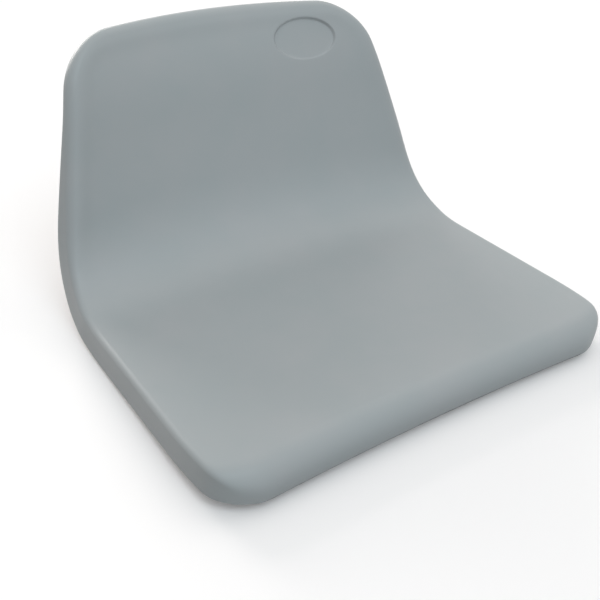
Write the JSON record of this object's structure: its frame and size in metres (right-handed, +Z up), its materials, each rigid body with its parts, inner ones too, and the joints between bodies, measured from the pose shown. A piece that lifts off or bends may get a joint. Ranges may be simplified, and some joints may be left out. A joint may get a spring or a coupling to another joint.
{
  "type": "stadium seat",
  "caption": "Low-back moulded plastic stadium seat shell with a turned-down rim and an oval number recess, screwed from below to folded steel rails.",
  "frame": {"origin": "bottom centre of the whole part: the middle of its plan, on the plane that the rails stand on", "axes": "+Z up, -Y is the front that the sitter faces, +X is to the right of a viewer in front of the seat; names with left are on -X"},
  "size_m": [0.4488, 0.418, 0.2547],
  "materials": {
    "moulded_polypropylene": "injection-moulded polypropylene, light grey, satin, fine texture",
    "galvanised_steel": "hot-dip galvanised folded steel, dull spangle",
    "zinc_plated_steel": "bright zinc-plated fasteners",
    "brass": "knurled brass insert"
  },
  "bodies": {
    "root": {"seat_shell": "moulded_polypropylene", "mounting_rail_left": "galvanised_steel", "mounting_rail_right": "galvanised_steel", "threaded_insert_front_left": "brass", "threaded_insert_front_right": "brass", "threaded_insert_rear_left": "brass", "threaded_insert_rear_right": "brass", "rail_screw_front_left": "zinc_plated_steel", "rail_screw_front_right": "zinc_plated_steel", "rail_screw_rear_left": "zinc_plated_steel", "rail_screw_rear_right": "zinc_plated_steel", "flat_washer_front_left": "zinc_plated_steel", "flat_washer_front_right": "zinc_plated_steel", "flat_washer_rear_left": "zinc_plated_steel", "flat_washer_rear_right": "zinc_plated_steel", "lock_washer_front_left": "zinc_plated_steel", "lock_washer_front_right": "zinc_plated_steel", "lock_washer_rear_left": "zinc_plated_steel", "lock_washer_rear_right": "zinc_plated_steel"}
  },
  "joints": []
}
